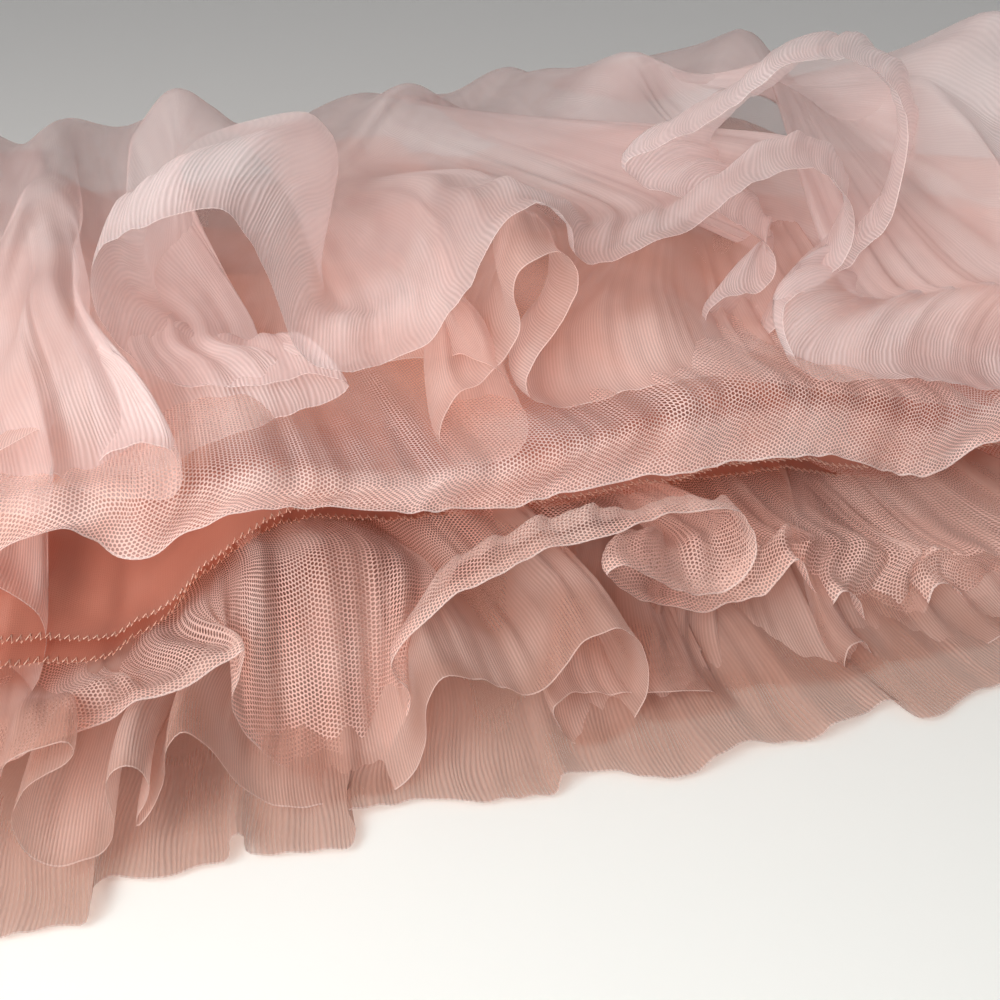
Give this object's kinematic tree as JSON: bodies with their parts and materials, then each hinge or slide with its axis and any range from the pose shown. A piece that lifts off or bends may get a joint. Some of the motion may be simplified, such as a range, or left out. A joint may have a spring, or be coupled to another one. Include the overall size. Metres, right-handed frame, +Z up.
{
  "type": "tutu dress",
  "caption": "Sleeveless dress with a full gathered skirt of layered tulle over a lining, laid flat on its back with its ruffled hem raised in a soft pile.",
  "frame": {"origin": "on the floor, under the middle of the dress's box", "axes": "+Z up from the floor the dress lies on, -Y towards the skirt's hem, +Y towards the neck, +X towards the wearer's left as seen from above with the hem nearest"},
  "size_m": [0.7934, 0.6172, 0.1479],
  "materials": {
    "crinkle_tulle": "soft matte crinkled tulle",
    "fine_tulle": "soft matte fine tulle",
    "net": "open matte net",
    "lining": "soft satin lining",
    "bodice": "soft matte cloth",
    "band": "soft satin ribbon"
  },
  "bodies": {
    "root": {"outer_back": "crinkle_tulle", "outer_front": "crinkle_tulle", "second_back": "fine_tulle", "second_front": "fine_tulle", "net_back": "net", "net_front": "net", "lining_back": "lining", "lining_front": "lining", "waistband_back": "band", "waistband_front": "band", "bodice_back": "bodice", "bodice_front": "bodice", "strap_left": "band", "strap_right": "band"}
  },
  "joints": []
}
